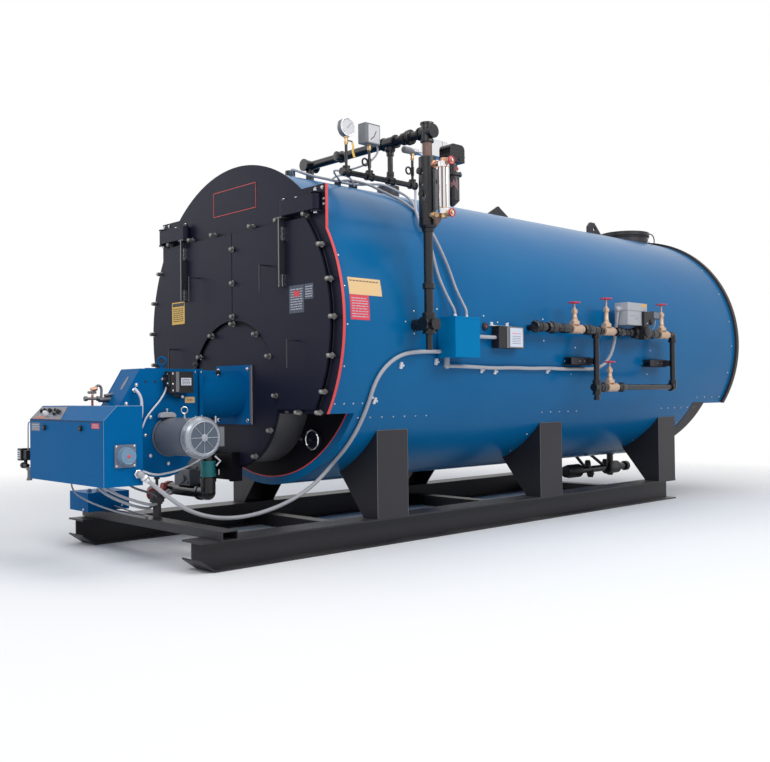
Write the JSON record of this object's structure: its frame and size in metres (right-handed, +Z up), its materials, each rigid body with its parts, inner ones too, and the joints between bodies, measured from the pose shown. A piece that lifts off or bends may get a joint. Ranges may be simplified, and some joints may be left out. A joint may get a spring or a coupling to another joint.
{
  "type": "industrial boiler",
  "caption": "horizontal firetube steam boiler on skid beams with saddles, gas burner, davit-hung front doors, water column, control manifold and feed valve loop",
  "frame": {"origin": "on the floor, on the boiler's centre line, midway between the four anchor holes of the skid beams", "axes": "+Z up, the burner and the front doors face -Y, the piping side faces +X, the shell runs along Y"},
  "size_m": [2.3489, 5.91, 2.565],
  "materials": {
    "blue_paint": "gloss enamel",
    "black_paint": "satin enamel",
    "plate_black": "satin enamel, bluish",
    "shell_steel": "bare steel plate",
    "black_pipe": "black pipe, oiled",
    "brass": "cast brass, dull",
    "red_paint": "red enamel",
    "bright_steel": "zinc plated steel",
    "teal_paint": "teal enamel",
    "box_grey": "grey box enamel",
    "conduit_grey": "grey sheathed flexible conduit",
    "motor_grey": "grey motor enamel",
    "cast_black": "cast iron, painted black"
  },
  "bodies": {
    "boiler": {"air_housing": "blue_paint", "alarm_horn": "bright_steel", "blast_tube": "blue_paint", "blowdown_pipe": "black_pipe", "burner_disc": "black_paint", "cabinet_conduit": "conduit_grey", "column_leg": "black_pipe", "conduits": "conduit_grey", "control_cabinet": "blue_paint", "control_manifold": "black_pipe", "cross_members": "black_paint", "crown_fittings": "black_paint", "damper_actuator": "cast_black", "davit_brackets": "plate_black", "electrical_boxes": "blue_paint", "fan_motor": "motor_grey", "feed_actuator": "box_grey", "feed_pipe_drops": "black_pipe", "feed_pipes": "black_pipe", "front_cross_beam": "black_paint", "front_plate": "plate_black", "front_smoke_box": "shell_steel", "front_tube_sheet": "black_paint", "furnace_neck": "shell_steel", "gas_collar": "teal_paint", "gas_pipe": "black_pipe", "gauge_glass": "bright_steel", "hand_holes": "black_paint", "jacket": "blue_paint", "jacket_front_hood": "blue_paint", "jacket_rear_hood": "blue_paint", "oil_pump_box": "blue_paint", "pressure_controls": "box_grey", "pressure_shell": "shell_steel", "rear_covers": "black_paint", "rear_plate": "black_paint", "rear_smoke_box": "shell_steel", "rear_tube_sheet": "shell_steel", "saddle_front": "black_paint", "saddle_middle": "black_paint", "saddle_rear": "black_paint", "skid_left": "black_paint", "skid_right": "black_paint", "stack_collar": "black_paint", "steam_header": "black_pipe", "valve_bodies": "brass", "water_column": "black_pipe", "water_level_control": "black_pipe"},
    "davit_arm_right": {"davit_arm_right": "plate_black"},
    "davit_arm_left": {"davit_arm_left": "plate_black"},
    "door_right": {"door_right": "plate_black", "door_strap_right": "plate_black"},
    "door_left": {"door_left": "plate_black", "door_strap_left": "plate_black"},
    "hand_wheel_first_body": {"hand_wheel_first": "red_paint"},
    "hand_wheel_second_body": {"hand_wheel_second": "red_paint"},
    "hand_wheel_third_body": {"hand_wheel_third": "red_paint"},
    "hand_wheel_lower_body": {"hand_wheel_lower": "red_paint"},
    "gauge_cock_wheel_upper_body": {"gauge_cock_wheel_upper": "red_paint"},
    "gauge_cock_wheel_lower_body": {"gauge_cock_wheel_lower": "red_paint"}
  },
  "joints": [
    {"name": "davit_right", "type": "hinge", "parent": "boiler", "child": "davit_arm_right", "pos_m": [0.835, -1.666, 2.03], "axis": [0, 0, 1], "range_deg": [0, 150]},
    {"name": "door_right_swivel", "type": "hinge", "parent": "davit_arm_right", "child": "door_right", "pos_m": [0.54, -1.666, 2.03], "axis": [0, 0, 1], "range_deg": [-150, 0]},
    {"name": "davit_left", "type": "hinge", "parent": "boiler", "child": "davit_arm_left", "pos_m": [-0.835, -1.666, 2.03], "axis": [0, 0, -1], "range_deg": [0, 150]},
    {"name": "door_left_swivel", "type": "hinge", "parent": "davit_arm_left", "child": "door_left", "pos_m": [-0.54, -1.666, 2.03], "axis": [0, 0, -1], "range_deg": [-150, 0]},
    {"name": "hand_wheel_first_turn", "type": "hinge", "parent": "boiler", "child": "hand_wheel_first_body", "pos_m": [1.12, 0.431, 1.554], "axis": [0, 0, 1], "range_deg": [0, 1440]},
    {"name": "hand_wheel_second_turn", "type": "hinge", "parent": "boiler", "child": "hand_wheel_second_body", "pos_m": [1.12, 0.825, 1.605], "axis": [0, 0, 1], "range_deg": [0, 1440]},
    {"name": "hand_wheel_third_turn", "type": "hinge", "parent": "boiler", "child": "hand_wheel_third_body", "pos_m": [1.12, 1.591, 1.605], "axis": [0, 0, 1], "range_deg": [0, 1440]},
    {"name": "hand_wheel_lower_turn", "type": "hinge", "parent": "boiler", "child": "hand_wheel_lower_body", "pos_m": [1.12, 0.859, 1.146], "axis": [0, 0, 1], "range_deg": [0, 1440]},
    {"name": "gauge_cock_upper_turn", "type": "hinge", "parent": "boiler", "child": "gauge_cock_wheel_upper_body", "pos_m": [1.31, -1.037, 2.281], "axis": [1, 0, 0], "range_deg": [0, 720]},
    {"name": "gauge_cock_lower_turn", "type": "hinge", "parent": "boiler", "child": "gauge_cock_wheel_lower_body", "pos_m": [1.31, -1.037, 1.976], "axis": [1, 0, 0], "range_deg": [0, 720]}
  ],
  "couplings": [
    {"joint": "door_right_swivel", "follows": "davit_right", "ratio": -1},
    {"joint": "door_left_swivel", "follows": "davit_left", "ratio": -1}
  ]
}
